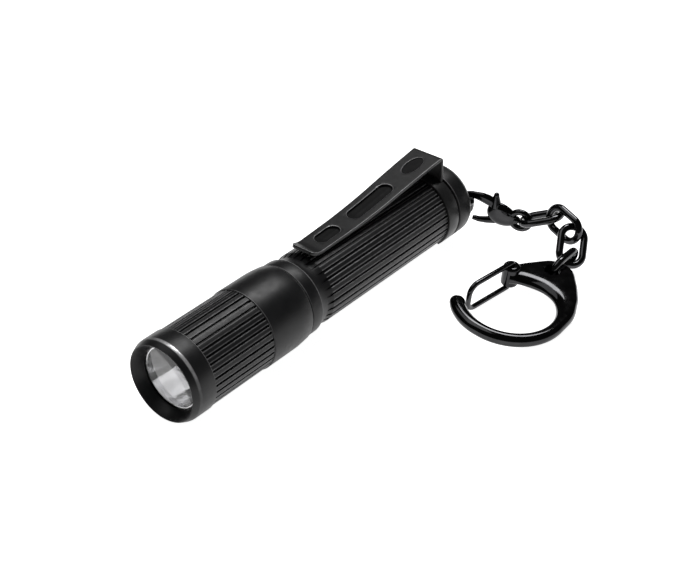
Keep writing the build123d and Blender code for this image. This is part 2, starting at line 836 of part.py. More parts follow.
def all_nodes():
    nodes = {
        "head_shell": head_shell(),
        "lens": lens(),
        "lens_o_ring": lens_o_ring(),
        "reflector": reflector(),
        "led_centring_ring": led_centring_ring(),
        "led_package": led_package(),
        "led_dome": led_dome(),
        "led_board": led_board(),
        "pill": pill(),
        "driver_board": driver_board(),
        "driver_coil": driver_coil(),
        "driver_chips": driver_chips(),
        "led_lead_positive": led_lead(1),
        "led_lead_negative": led_lead(-1),
        "driver_retaining_ring": driver_ring(),
        "positive_contact": positive_contact(),
        "foam_ring": foam_ring(),
        "cell_can": cell_can(),
        "cell_positive_cap": cell_cap(),
        "cell_negative_base": cell_base(),
        "battery_tube": battery_tube(),
        "neck_o_ring": neck_o_ring(),
        "tail_spring": tail_spring(),
        "tail_spring_seat": spring_seat(),
        "clip_band": clip_ring(),
        "clip_arm": clip_arm(),
        "clasp_body": clasp_body(),
        "clasp_gate_lever": gate_lever(),
        "clasp_rivet": clasp_rivet(),
        "clasp_gate_spring": gate_spring(),
        "carabiner_body": carabiner_body(),
        "carabiner_wire_gate": wire_gate(),
    }
    for number, frame in enumerate(chain_frames()[0], 1):
        nodes[f"chain_link_{number}"] = chain_link(frame)
    return nodes


def write_parts():
    os.makedirs("parts", exist_ok=True)
    for name, shape in all_nodes().items():
        solids = shape if isinstance(shape, list) else shape.solids()
        whole = solids[0] if len(solids) == 1 else Compound(children=[s.solid() for s in solids])
        export_step(whole, f"parts/{name}.step")


write_parts()
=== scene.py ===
import json
from math import atan2, cos, hypot, pi, radians, sin, sqrt

import bmesh
import bpy
from mathutils import Matrix, Vector
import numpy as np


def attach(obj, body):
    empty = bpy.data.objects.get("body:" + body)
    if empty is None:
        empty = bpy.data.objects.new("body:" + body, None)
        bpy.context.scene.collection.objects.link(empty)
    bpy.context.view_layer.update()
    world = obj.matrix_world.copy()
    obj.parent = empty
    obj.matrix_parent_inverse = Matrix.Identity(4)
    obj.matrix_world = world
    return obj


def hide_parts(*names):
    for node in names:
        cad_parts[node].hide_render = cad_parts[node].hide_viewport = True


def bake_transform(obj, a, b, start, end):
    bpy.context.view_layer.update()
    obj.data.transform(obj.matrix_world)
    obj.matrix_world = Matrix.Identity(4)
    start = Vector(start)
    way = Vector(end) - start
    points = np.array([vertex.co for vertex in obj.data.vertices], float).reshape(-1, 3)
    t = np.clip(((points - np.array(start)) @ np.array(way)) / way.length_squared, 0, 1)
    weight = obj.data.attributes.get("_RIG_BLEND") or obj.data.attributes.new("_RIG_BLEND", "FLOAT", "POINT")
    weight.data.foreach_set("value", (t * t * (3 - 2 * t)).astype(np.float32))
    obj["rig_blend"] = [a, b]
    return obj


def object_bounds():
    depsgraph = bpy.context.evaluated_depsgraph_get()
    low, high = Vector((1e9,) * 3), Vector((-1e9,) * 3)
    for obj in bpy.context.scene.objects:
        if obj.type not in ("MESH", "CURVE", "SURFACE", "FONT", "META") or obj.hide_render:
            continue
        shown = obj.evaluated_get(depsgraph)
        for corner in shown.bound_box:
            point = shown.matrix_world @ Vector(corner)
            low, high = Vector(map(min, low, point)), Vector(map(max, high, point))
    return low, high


# Keychain flashlight. The shapes are made in millimetres in the frame of the CAD model and
# brought to metres when a piece is finished. A station is a distance behind the front rim.

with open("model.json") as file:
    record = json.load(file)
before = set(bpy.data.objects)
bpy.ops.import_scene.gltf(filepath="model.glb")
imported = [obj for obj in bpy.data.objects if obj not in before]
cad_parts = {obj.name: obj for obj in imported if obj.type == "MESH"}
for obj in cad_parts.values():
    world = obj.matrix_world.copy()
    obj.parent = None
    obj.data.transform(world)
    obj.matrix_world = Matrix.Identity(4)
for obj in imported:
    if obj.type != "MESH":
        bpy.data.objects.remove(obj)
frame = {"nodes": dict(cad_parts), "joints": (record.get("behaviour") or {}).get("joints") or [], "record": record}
scene = bpy.context.scene
cad_low, cad_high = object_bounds()
joints = {joint["name"]: joint for joint in frame["joints"]}

ORIGIN_STATION = 2.925
HEAD_R, TUBE_R, COLLAR_R, TAIL_R = 7.0, 6.25, 6.55, 6.6
HEAD_CREST_R = 6.84
HEAD_FLUTE_DEPTH, TUBE_FLUTE_DEPTH = 0.35, 0.32
TOTAL = 70.0
LENS_FRONT, LENS_BACK, LENS_R = 2.05, 2.6, 6.0
THREAD_R, THREAD_ROOT_R, THREAD_PITCH = 6.0, 5.85, 0.8


def at(station):
    return station - ORIGIN_STATION


def joint_place(name):
    return Vector(joints[name]["pos_m"]) * 1000


# ---------------------------------------------------------------- materials


def finish(name, colour, roughness, metallic=0.0, **coat):
    """Principled material with its plain values on the shader's own sockets."""
    material = bpy.data.materials.new(name)
    material.use_nodes = True
    shader = material.node_tree.nodes["Principled BSDF"]
    shader.inputs["Base Color"].default_value = (*colour, 1)
    shader.inputs["Roughness"].default_value = roughness
    shader.inputs["Metallic"].default_value = metallic
    for socket, value in coat.items():
        shader.inputs[socket.replace("_", " ")].default_value = value
    return material


def node(material, kind, **settings):
    made = material.node_tree.nodes.new(kind)
    for key, value in settings.items():
        setattr(made, key, value)
    return made


def join(material, source, target):
    material.node_tree.links.new(source, target)


def grain(material, scale, detail=3.0, stretch=(1, 1, 1)):
    """Noise in the piece's own space, in grains per metre."""
    place = node(material, "ShaderNodeTexCoord")
    mapping = node(material, "ShaderNodeMapping")
    mapping.inputs["Scale"].default_value = stretch
    noise = node(material, "ShaderNodeTexNoise")
    noise.inputs["Scale"].default_value = scale
    noise.inputs["Detail"].default_value = detail
    join(material, place.outputs["Object"], mapping.inputs["Vector"])
    join(material, mapping.outputs["Vector"], noise.inputs["Vector"])
    return noise.outputs["Fac"]


def spread(material, value, low, high):
    """Map a noise value on to a range."""
    remap = node(material, "ShaderNodeMapRange")
    remap.inputs["From Min"].default_value = 0.3
    remap.inputs["From Max"].default_value = 0.7
    remap.inputs["To Min"].default_value = low
    remap.inputs["To Max"].default_value = high
    join(material, value, remap.inputs["Value"])
    return remap.outputs["Result"]


def vary_roughness(material, value, low, high):
    shader = material.node_tree.nodes["Principled BSDF"]
    join(material, spread(material, value, low, high), shader.inputs["Roughness"])


def vary_colour(material, value, dark, light):
    shader = material.node_tree.nodes["Principled BSDF"]
    ramp = node(material, "ShaderNodeValToRGB")
    ramp.color_ramp.elements[0].position = 0.3
    ramp.color_ramp.elements[1].position = 0.7
    ramp.color_ramp.elements[0].color = (*dark, 1)
    ramp.color_ramp.elements[1].color = (*light, 1)
    join(material, value, ramp.inputs["Fac"])
    join(material, ramp.outputs["Color"], shader.inputs["Base Color"])


def roughen(material, value, strength, height):
    shader = material.node_tree.nodes["Principled BSDF"]
    bump = node(material, "ShaderNodeBump")
    bump.inputs["Strength"].default_value = strength
    bump.inputs["Distance"].default_value = height
    join(material, value, bump.inputs["Height"])
    join(material, bump.outputs["Normal"], shader.inputs["Normal"])


def rubbed_with_glints(material, bare, roughness):
    """Let bright metal through where the shape is marked, broken up by grain: partly real edge wear, partly
    painted highlights on edges where the lamps' glints fall.
    """
    shader = material.node_tree.nodes["Principled BSDF"]
    mark = node(material, "ShaderNodeAttribute", attribute_type="GEOMETRY", attribute_name="edge_wear_and_glint")
    amount = node(material, "ShaderNodeMath", operation="MULTIPLY", use_clamp=True)
    join(material, mark.outputs["Fac"], amount.inputs[0])
    join(material, spread(material, grain(material, 1300), 0.5, 1.0), amount.inputs[1])
    colour = node(material, "ShaderNodeMixRGB")
    join(material, amount.outputs["Value"], colour.inputs["Fac"])
    join(material, shader.inputs["Base Color"].links[0].from_socket, colour.inputs["Color1"])
    colour.inputs["Color2"].default_value = (*bare, 1)
    join(material, colour.outputs["Color"], shader.inputs["Base Color"])
    polish = node(material, "ShaderNodeMix", data_type="FLOAT")
    join(material, amount.outputs["Value"], polish.inputs["Factor"])
    join(material, shader.inputs["Roughness"].links[0].from_socket, polish.inputs["A"])
    polish.inputs["B"].default_value = roughness
    join(material, polish.outputs["Result"], shader.inputs["Roughness"])
    join(material, amount.outputs["Value"], shader.inputs["Metallic"])


def anodised_black():
    """Blasted aluminium, hard anodised black, rubbed brighter along its edges, with painted highlights on the lit
    side of some edges.
    """
    m = finish("black hard anodising", (0.009, 0.009, 0.0095), 0.38, 0.0, Specular_IOR_Level=0.2)
    vary_colour(m, grain(m, 260), (0.0075, 0.0075, 0.008), (0.0105, 0.0105, 0.011))
    vary_roughness(m, grain(m, 900), 0.34, 0.42)
    roughen(m, grain(m, 9000, 2.0), 0.18, 0.00002)
    rubbed_with_glints(m, (0.8, 0.8, 0.81), 0.27)
    return m


def coated_clip_steel(name, shade, roughness, gloss):
    """Spring steel with a fine black coating, rubbed along its edges, with painted highlights on some edges."""
    m = finish(name, (shade, shade, shade), roughness, 0.0, Specular_IOR_Level=gloss)
    dark, light = 0.85 * shade, 1.15 * shade
    vary_colour(m, grain(m, 320), (dark, dark, dark), (light, light, 1.04 * light))
    vary_roughness(m, grain(m, 1100), roughness - 0.04, roughness + 0.05)
    roughen(m, grain(m, 12000, 2.0), 0.15, 0.000015)
    rubbed_with_glints(m, (0.85, 0.85, 0.86), 0.26)
    return m


def black_nickel(name, shade, roughness, scale):
    """Cast or drawn metal under a dark mirror plating."""
    m = finish(name, (shade, shade, shade), roughness, 1.0)
    dark, light = 0.8 * shade, 1.2 * shade
    vary_colour(m, grain(m, scale), (dark, dark, 1.05 * dark), (light, light, 1.03 * light))
    vary_roughness(m, grain(m, 1.7 * scale), roughness - 0.03, roughness + 0.05)
    roughen(m, grain(m, 3.6 * scale, 2.0), 0.05, 0.00003)
    return m


def mirror_coating():
    """Vapour-deposited mirror over a slightly wavy cup."""
    m = finish("reflector mirror coating", (0.62, 0.62, 0.63), 0.05, 1.0)
    vary_roughness(m, grain(m, 900), 0.03, 0.09)
    roughen(m, grain(m, 1700, 3.0), 0.55, 0.00006)
    return m


def lens_glass():
    m = finish("coated lens glass", (1, 1, 1), 0.0, 0.0, Transmission_Weight=1.0, IOR=1.45)
    roughen(m, grain(m, 300), 0.01, 0.000005)
    return m


def clear_silicone():
    m = finish("clear silicone dome", (1.0, 0.93, 0.62), 0.03, 0.0, Transmission_Weight=0.9, IOR=1.41)
    roughen(m, grain(m, 1500), 0.03, 0.00001)
    return m


def phosphor():
    m = finish("emitter phosphor", (0.9, 0.72, 0.16), 0.6)
    vary_colour(m, grain(m, 6000), (0.85, 0.66, 0.12), (0.95, 0.78, 0.22))
    return m


def plain_solid(name, colour, roughness, metallic=0.0, scale=2000.0, share=0.18):
    """Finish for an inner part: even colour with a fine mottle and surface grain."""
    m = finish(name, colour, roughness, metallic)
    dark = tuple(c * (1 - share) for c in colour)
    light = tuple(min(1, c * (1 + share)) for c in colour)
    vary_colour(m, grain(m, scale), dark, light)
    roughen(m, grain(m, scale * 3), 0.15, 0.00002)
    return m


def turned_brass(name, colour):
    """Brass with fine turning lines round the light's axis."""
    m = finish(name, colour, 0.3, 1.0)
    vary_roughness(m, grain(m, 400, stretch=(1, 30, 1)), 0.22, 0.38)
    roughen(m, grain(m, 300, stretch=(1, 40, 1)), 0.25, 0.00002)
    return m


ANODISED = anodised_black()
CLIP_STEEL = coated_clip_steel("black coated spring steel", 0.012, 0.34, 0.3)
# painted shade: a darker copy of the clip steel for the floors of the pressed slots and oval
RECESS_SHADE_STEEL = coated_clip_steel("spring steel with painted recess shade", 0.004, 0.6, 0.1)
NICKEL = black_nickel("black nickel plate", 0.034, 0.1, 420)
NICKEL_WIRE = black_nickel("black nickel wire", 0.05, 0.1, 700)
MIRROR = mirror_coating()
GLASS = lens_glass()
DOME = clear_silicone()
PHOSPHOR = phosphor()
INNER = {
    "seal_rubber": plain_solid("black seal rubber", (0.015, 0.015, 0.015), 0.6),
    "ring_plastic": plain_solid("white moulded plastic", (0.75, 0.75, 0.72), 0.5),
    "emitter_ceramic": plain_solid("white emitter ceramic", (0.7, 0.7, 0.66), 0.4),
    "board": plain_solid("white board", (0.72, 0.72, 0.7), 0.35),
    "driver_board": plain_solid("green board", (0.02, 0.16, 0.06), 0.35),
    "pill_brass": turned_brass("turned brass", (0.7, 0.5, 0.22)),
    "chip_plastic": plain_solid("black chip moulding", (0.02, 0.02, 0.022), 0.55),
    "coil_ferrite": plain_solid("dark ferrite", (0.06, 0.055, 0.055), 0.65),
    "lead_red": plain_solid("red wire insulation", (0.5, 0.02, 0.015), 0.45),
    "lead_black": plain_solid("black wire insulation", (0.02, 0.02, 0.02), 0.45),
    "contact_metal": turned_brass("gold plated contact", (0.85, 0.62, 0.28)),
    "foam": plain_solid("dark foam", (0.05, 0.05, 0.05), 0.95, scale=4000.0, share=0.5),
    "cell_jacket": plain_solid("plain cell sleeve", (0.03, 0.05, 0.09), 0.3),
    "cell_steel": plain_solid("nickel plated steel", (0.6, 0.6, 0.58), 0.25, 1.0),
    "spring_steel": plain_solid("drawn spring wire", (0.55, 0.55, 0.53), 0.25, 1.0),
}
SHOWN = {
    "anodised": ANODISED,
    "lens_glass": GLASS,
    "reflector_metal": MIRROR,
    "emitter_dome": DOME,
    "clip_steel": CLIP_STEEL,
    "black_nickel": NICKEL,
}

FINISHES = {**INNER, **SHOWN}
for part in frame["record"]["subparts"]:
    carried = frame["nodes"][part["node"]]
    carried.data.materials.clear()
    carried.data.materials.append(FINISHES[part["material_slot"]])


# ---------------------------------------------------------------- making pieces


def new_shape():
    """Empty shape that can be marked as worn along its edges, and given painted highlights there."""
    shape = bmesh.new()
    shape.verts.layers.float.new("edge_wear_and_glint")
    return shape


# angle round the light's axis of the side where the key lamp's glint falls; the edge marks there are painted
# highlights
GLINT_SIDE = radians(68)


def wear_and_glint_at(shape, radius, station, reach, amount):
    """Mark the ring of points near one corner of a turned outline: a faint even wear, with a painted highlight
    that is strongest on the lit side.
    """
    wear_and_glint = shape.verts.layers.float["edge_wear_and_glint"]
    for vert in shape.verts:
        off = hypot(hypot(vert.co.x, vert.co.z) - radius, vert.co.y - at(station))
        if off < reach:
            # painted highlight: the mark grows towards the side that faces the key lamp
            upper = max(0, cos(atan2(vert.co.z, vert.co.x) - GLINT_SIDE))
            vert[wear_and_glint] = amount * (0.04 + 0.96 * upper**5)


def wear_and_glint_inside(shape, bevelled, amount, least):
    """Mark the middle of a bevel as worn or as a painted highlight: the points that so many of its faces meet at.
    """
    wear_and_glint = shape.verts.layers.float["edge_wear_and_glint"]
    faces = set(bevelled["faces"])
    for vert in bevelled["verts"]:
        if sum(face in faces for face in vert.link_faces) >= least:
            vert[wear_and_glint] = amount


def points_of(geometry):
    """The points among what an operator hands back."""
    return [item for item in geometry if isinstance(item, bmesh.types.BMVert)]


def finish_piece(shape, name, materials, body, stands_for=(), crease=32):
    """Turn a shape in millimetres into a piece that rides on a body."""
    bmesh.ops.remove_doubles(shape, verts=shape.verts, dist=0.002)
    bmesh.ops.dissolve_degenerate(shape, edges=shape.edges, dist=0.001)
    bmesh.ops.recalc_face_normals(shape, faces=shape.faces)
    bmesh.ops.scale(shape, vec=(0.001, 0.001, 0.001), verts=shape.verts)
    for face in shape.faces:
        face.smooth = True
    for edge in shape.edges:
        edge.smooth = len(edge.link_faces) == 2 and edge.calc_face_angle() < radians(crease)
    mesh = bpy.data.meshes.new(name)
    shape.to_mesh(mesh)
    shape.free()
    piece = bpy.data.objects.new(name, mesh)
    scene.collection.objects.link(piece)
    for material in materials if isinstance(materials, list) else [materials]:
        mesh.materials.append(material)
    if body:
        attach(piece, body)
    if stands_for:
        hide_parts(*stands_for)
    return piece


def profile(shape, corners, closed=True):
    """Wire outline in the turning plane from (radius, station, rounding) corners."""
    verts = [shape.verts.new((r, at(station), 0)) for r, station, rounding in corners]
    ends = verts[1:] + verts[:1] if closed else verts[1:]
    for a, b in zip(verts, ends):
        shape.edges.new((a, b))
    for vert, (r, station, rounding) in list(zip(verts, corners)):
        if rounding:
            steps = 8 if rounding > 0.8 else 3
            bmesh.ops.bevel(
                shape, geom=[vert], offset=rounding, offset_type="OFFSET", segments=steps,
                profile=0.5, affect="VERTICES", material=-1,
            )


def turn(shape, steps):
    """Spin the outline round the light's axis."""
    bmesh.ops.spin(
        shape, geom=shape.verts[:] + shape.edges[:], cent=(0, 0, 0), axis=(0, 1, 0),
        dvec=(0, 0, 0), angle=2 * pi, steps=steps, use_merge=True, use_duplicate=False,
    )
    bmesh.ops.remove_doubles(shape, verts=shape.verts, dist=0.001)


def cut_flutes(shape, count, columns, start, end, floor_r, outside_r, wear_and_glint):
    """Sink every flute: two of each few columns of faces go down to the floor radius."""
    share = columns // count
    sunk = []
    for face in shape.faces:
        middle = face.calc_center_median()
        column = int((atan2(middle.z, middle.x) % (2 * pi)) / (2 * pi) * columns)
        on_outside = hypot(middle.x, middle.z) > outside_r
        if on_outside and at(start) < middle.y < at(end) and column % share < 2:
            sunk.append(face)
    moved = bmesh.ops.extrude_face_region(shape, geom=sunk)["geom"]
    bmesh.ops.delete(shape, geom=sunk, context="FACES_ONLY")
    for vert in points_of(moved):
        r = hypot(vert.co.x, vert.co.z)
        if r > floor_r:
            vert.co.x *= floor_r / r
            vert.co.z *= floor_r / r
    bmesh.ops.remove_doubles(shape, verts=shape.verts, dist=0.001)
    crests = []
    for edge in shape.edges:
        along = abs(edge.verts[0].co.y - edge.verts[1].co.y) > 2
        high = all(hypot(v.co.x, v.co.z) > floor_r + 0.1 for v in edge.verts)
        if along and high and len(edge.link_faces) == 2 and edge.calc_face_angle() > radians(50):
            crests.append(edge)
    rounded = bmesh.ops.bevel(
        shape, geom=crests, offset=0.08, offset_type="OFFSET", segments=3, profile=0.5,
        affect="EDGES", material=-1,
    )
    wear_and_glint_inside(shape, rounded, wear_and_glint, 2)


def head_shell():
    shape = new_shape()
    crest = HEAD_CREST_R
    profile(shape, [
        (5.2, LENS_FRONT, 0.12), (6.4, 0.0, 0.4), (HEAD_R, 1.4, 0.34),
        (HEAD_R, 4.6, 0.06), (crest, 4.72, 0), (crest, 4.8, 0), (crest, 17.6, 0), (crest, 17.68, 0),
        (HEAD_R, 17.8, 0.06), (HEAD_R, 24.5, 0.6), (6.75, 26.9, 0.18), (6.36, 26.9, 0.05),
        (6.36, 23.6, 0), (6.1, 23.3, 0), (6.1, LENS_FRONT, 0),
    ])
    turn(shape, 216)
    # edge marks: painted highlights on the lit side of the bezel rim, lens lip and flute-band steps, over a faint
    # even wear
    wear_and_glint_at(shape, HEAD_R, 1.4, 0.3, 1.0)
    wear_and_glint_at(shape, HEAD_R, 4.6, 0.055, 0.8)
    wear_and_glint_at(shape, HEAD_R, 17.8, 0.055, 0.4)
    wear_and_glint_at(shape, 6.75, 26.9, 0.15, 0.3)
    wear_and_glint_at(shape, 5.2, LENS_FRONT, 0.11, 1.0)
    cut_flutes(shape, 36, 216, 4.75, 17.65, crest - HEAD_FLUTE_DEPTH, crest - 0.02, 0.14)
    finish_piece(shape, "head_shell_turning", ANODISED, "head", ["head_shell"])


def battery_tube():
    shape = new_shape()
    corners = [(5.35, 18.36, 0.1), (THREAD_ROOT_R, 18.36, 0.1)]
    for ridge in range(6):
        y = 19.16 + THREAD_PITCH * ridge
        corners += [
            (THREAD_ROOT_R, y - 0.24, 0), (THREAD_R, y - 0.08, 0.03),
            (THREAD_R, y + 0.08, 0.03), (THREAD_ROOT_R, y + 0.24, 0),
        ]
    corners += [
        (THREAD_ROOT_R, 23.6, 0), (TUBE_R, 23.9, 0.05), (TUBE_R, 24.7, 0.04), (5.88, 24.7, 0),
        (5.88, 25.3, 0), (TUBE_R, 25.3, 0.04), (TUBE_R, 27.2, 0), (COLLAR_R, 27.2, 0.18),
        (COLLAR_R, 29.5, 0.2), (6.2, 29.75, 0), (5.95, 30.6, 0.7), (5.97, 31.4, 0), (6.1, 32.0, 0),
        (TUBE_R, 32.5, 0.1), (TUBE_R, 62.8, 0.05), (5.92, 62.8, 0), (5.92, 65.6, 0),
        (6.15, 65.6, 0.05), (6.15, 65.85, 0), (TAIL_R, 66.0, 0.12), (TAIL_R, TOTAL - 1.05, 0.35),
        (5.6, TOTAL, 0.4), (0.0, TOTAL, 0), (0.0, 66.2, 0), (5.35, 66.2, 0.1),
    ]
    profile(shape, corners)
    turn(shape, 180)
    # edge marks: painted highlights on the lit side of the collar and tail edges, over a faint even wear
    wear_and_glint_at(shape, COLLAR_R, 27.2, 0.15, 0.35)
    wear_and_glint_at(shape, COLLAR_R, 29.5, 0.17, 0.35)
    wear_and_glint_at(shape, TAIL_R, 66.0, 0.1, 0.4)
    wear_and_glint_at(shape, TAIL_R, TOTAL - 1.05, 0.3, 0.3)
    cut_flutes(shape, 30, 180, 31.2, 62.85, TUBE_R - TUBE_FLUTE_DEPTH, 5.93, 0.2)
    finish_piece(shape, "battery_tube_turning", ANODISED, "tube", ["battery_tube"])


def tail_lug():
    """Drilled tab behind the tail that the clasp hooks through."""
    half_thick = 0.85
    shape = new_shape()
    crown = bmesh.ops.create_circle(shape, cap_ends=False, radius=2.6, segments=64)["verts"]
    bmesh.ops.translate(shape, vec=(3.2, 0.3, 0), verts=crown)
    for vert in crown:
        if vert.co.y < 0.3:
            vert.co.y = max(vert.co.y * 0.1, -0.4)
    hole = bmesh.ops.create_circle(shape, cap_ends=False, radius=1.0, segments=64)["verts"]
    bmesh.ops.translate(shape, vec=(3.0, 1.15, 0), verts=hole)
    bmesh.ops.bridge_loops(shape, edges=shape.edges[:])
    bmesh.ops.translate(shape, vec=(0, 0, -half_thick), verts=shape.verts)
    lifted = bmesh.ops.extrude_face_region(shape, geom=shape.faces[:])["geom"]
    bmesh.ops.translate(shape, vec=(0, 0, 2 * half_thick), verts=points_of(lifted))
    bmesh.ops.recalc_face_normals(shape, faces=shape.faces)
    rims = [e for e in shape.edges if len(e.link_faces) == 2 and e.calc_face_angle() > radians(60)]
    rounded = bmesh.ops.bevel(
        shape, geom=rims, offset=0.22, offset_type="OFFSET", segments=4, profile=0.5,
        affect="EDGES", material=-1,
    )
    # painted highlight: the lug's rims get a strong bright mark
    wear_and_glint_inside(shape, rounded, 0.9, 4)
    lean = radians(8)
    shape.transform(placing((0, at(TOTAL), 0), (cos(lean), 0, -sin(lean)), (sin(lean), 0, cos(lean))))
    finish_piece(shape, "tail_lug_tab", ANODISED, "tube")


def placing(origin, forward, up):
    """Matrix that brings local X to forward and local Z to up, at an origin."""
    x = Vector(forward).normalized()
    z = Vector(up).normalized()
    y = z.cross(x).normalized()
    z = x.cross(y)
    turned = Matrix((x, y, z)).transposed().to_4x4()
    return Matrix.Translation(Vector(origin)) @ turned


def heading(azimuth, elevation, roll):
    """Forward and up directions of a keychain part."""
    a, e, r = radians(azimuth), radians(elevation), radians(roll)
    forward = Vector((cos(e) * cos(a), cos(e) * sin(a), sin(e)))
    level = Vector((-sin(a), cos(a), 0))
    sideways = level * cos(r) + forward.cross(level) * sin(r)
    return forward, forward.cross(sideways)


def wire(points, roundings, wire_r):
    """Round wire along straight runs with rounded corners, as a shape."""
    line = bmesh.new()
    verts = [line.verts.new(p) for p in points]
    for a, b in zip(verts, verts[1:]):
        line.edges.new((a, b))
    for vert, rounding in zip(verts[1:-1], roundings):
        bmesh.ops.bevel(
            line, geom=[vert], offset=rounding, offset_type="OFFSET", segments=8,
            profile=0.5, affect="VERTICES", material=-1,
        )
    ends = [v for v in line.verts if len(v.link_edges) == 1]
    path = in_order(line, min(ends, key=lambda v: (v.co - Vector(points[0])).length))
    return tube_along(path, [wire_r] * len(path), 20)


def tube_along(path, radii, sides):
    """Round skin along a path, with a radius at each of its points and closed ends."""
    curve = bpy.data.curves.new("path", "CURVE")
    curve.dimensions = "3D"
    curve.bevel_depth = 1.0
    curve.bevel_resolution = sides // 4 - 1
    curve.use_fill_caps = True
    curve.twist_mode = "MINIMUM"
    spline = curve.splines.new("POLY")
    spline.points.add(len(path) - 1)
    for point, co, r in zip(spline.points, path, radii):
        point.co = (*co, 1)
        point.radius = r
    holder = bpy.data.objects.new("path", curve)
    mesh = bpy.data.meshes.new_from_object(holder)
    shape = bmesh.new()
    shape.from_mesh(mesh)
    bpy.data.objects.remove(holder)
    bpy.data.curves.remove(curve)
    bpy.data.meshes.remove(mesh)
    bmesh.ops.remove_doubles(shape, verts=shape.verts, dist=0.001)
    return shape


# ---------------------------------------------------------------- optics


def lens():
    shape = bmesh.new()
    rim = [(LENS_R, LENS_FRONT, 0.15), (LENS_R, LENS_BACK, 0.15)]
    profile(shape, [(0, LENS_FRONT, 0), *rim, (0, LENS_BACK, 0)], closed=False)
    turn(shape, 96)
    finish_piece(shape, "lens_disc", GLASS, "head", ["lens"])


def reflector():
    """Parabolic mirror cup with a flange."""
    shape = bmesh.new()
    mouth, bottom = 2.66, 10.2
    mouth_r, bottom_r = 4.98, 1.75
    flange_front, flange_back, flange_r = 4.01, 5.21, 6.05
    focus = (mouth_r**2 - bottom_r**2) / (bottom - mouth)
    steps = 24
    cup = []
    for step in range(steps + 1):
        station = bottom - (bottom - mouth) * (step / steps)
        cup.append((sqrt(bottom_r**2 + focus * (bottom - station)), station, 0))
    back = [
        (5.1, mouth, 0), (5.1, flange_front, 0), (flange_r, flange_front, 0.1),
        (flange_r, flange_back, 0.1), (5.4, flange_back, 0), (3.3, bottom, 0),
    ]
    profile(shape, cup + back)
    turn(shape, 128)
    finish_piece(shape, "reflector_cup", MIRROR, "head", ["reflector"])


def emitter():
    shape = bmesh.new()
    bmesh.ops.create_uvsphere(shape, u_segments=48, v_segments=32, radius=1.25)
    bmesh.ops.bisect_plane(
        shape, geom=shape.verts[:] + shape.edges[:] + shape.faces[:], dist=0.0001,
        plane_co=(0, 0, 0), plane_no=(0, 0, 1), clear_inner=True,
    )
    rim = [e for e in shape.edges if e.is_boundary]
    bmesh.ops.edgeloop_fill(shape, edges=rim)
    shape.transform(placing((0, at(10.3), 0), (1, 0, 0), (0, -1, 0)))
    finish_piece(shape, "emitter_dome_silicone", DOME, "head", ["led_dome"], crease=50)
    shape = bmesh.new()
    bmesh.ops.create_grid(shape, x_segments=8, y_segments=8, size=0.72)
    bmesh.ops.solidify(shape, geom=shape.faces[:], thickness=0.04)
    shape.transform(placing((0, at(10.27), 0), (1, 0, 0), (0, -1, 0)))
    finish_piece(shape, "emitter_phosphor_die", PHOSPHOR, "head")


# ---------------------------------------------------------------- clip


CLIP_TIP, CLIP_SHEET, CLIP_TIP_ROUNDING = 32.2, 0.6, 0.9
CLIP_CORNERS = ((CLIP_TIP, 7.85), (33.9, 7.15), (46.0, 7.75), (58.6, 9.75), (65.5, 10.62), (65.5, 5.9))
CLIP_ROUNDINGS = (0.7, 5.5, 2.4, 0.85)
CLIP_LENGTH_TO_SHOULDER = 34.0
SLOT_DEPTH = 0.42
# middle station, length and width of each pressed slot
CLIP_SLOTS = ((38.3, 5.2, 2.5), (49.2, 10.6, 2.7))
SLOT_GAIN = 0.25
OVAL_STATION, OVAL_HALF_LENGTH, OVAL_HALF_WIDTH, OVAL_DEPTH = 60.45, 2.6, 1.25, 0.16


def clip_path():
    """Line of the clip's outer face from the tip to the foot of the riser: points and lengths."""
    line = bmesh.new()
    verts = [line.verts.new((0, at(station), z)) for station, z in CLIP_CORNERS]
    for a, b in zip(verts, verts[1:]):
        line.edges.new((a, b))
    for vert, rounding in zip(verts[1:-1], CLIP_ROUNDINGS):
        bmesh.ops.bevel(
            line, geom=[vert], offset=rounding, offset_type="OFFSET", segments=12, profile=0.5,
            affect="VERTICES", material=-1,
        )
    path = in_order(line, min(line.verts, key=lambda v: v.co.y))
    lengths = [0.0]
    for a, b in zip(path, path[1:]):
        lengths.append(lengths[-1] + (b - a).length)
    return path, lengths


def in_order(line, first):
    """Points of an open wire outline from one end to the other; the outline is used up."""
    ordered, edge = [first], None
    while True:
        onward = [e for e in ordered[-1].link_edges if e is not edge]
        if not onward:
            break
        edge = onward[0]
        ordered.append(edge.other_vert(ordered[-1]))
    path = [v.co.copy() for v in ordered]
    line.free()
    return path


def along_clip(path, lengths, s):
    """Point and upward normal of the clip's outer face at a length from its tip."""
    i = 0
    while i < len(lengths) - 2 and lengths[i + 1] < s:
        i += 1
    share = (s - lengths[i]) / (lengths[i + 1] - lengths[i])
    point = path[i].lerp(path[i + 1], share)
    before = (path[i + 1] - path[max(i - 1, 0)]).normalized()
    after = (path[min(i + 2, len(path) - 1)] - path[i]).normalized()
    ahead = before.lerp(after, max(0, min(1, share))).normalized()
    return point, Vector((0, -ahead.z, ahead.y))


def snap_hole(cells, middle, half_length, half_width, oval=False):
    """Move the outline of a block of cells on to a slot or an oval."""
    inside = set(cells)
    edges = {edge for face in cells for edge in face.edges}
    rim = {v for e in edges if any(face not in inside for face in e.link_faces) for v in e.verts}
    reach = half_length - half_width
    for vert in rim:
        x, y = vert.co.x, vert.co.y - middle
        if oval:
            size = hypot(x / half_width, y / half_length) or 1
            vert.co.x, vert.co.y = x / size, middle + y / size
        else:
            core = max(-reach, min(reach, y))
            size = hypot(x, y - core) or 1
            vert.co.x = x / size * half_width
            vert.co.y = middle + core + (y - core) / size * half_width


def clip_width(s):
    """Width of the sheet at a length from its tip, with rounded tip corners."""
    width = 4.6 + 1.3 * min(1, s / CLIP_LENGTH_TO_SHOULDER)
    corner = CLIP_TIP_ROUNDING
    if s < corner:
        width -= 2 * (corner - sqrt(max(0, corner**2 - (corner - s) ** 2)))
    return width


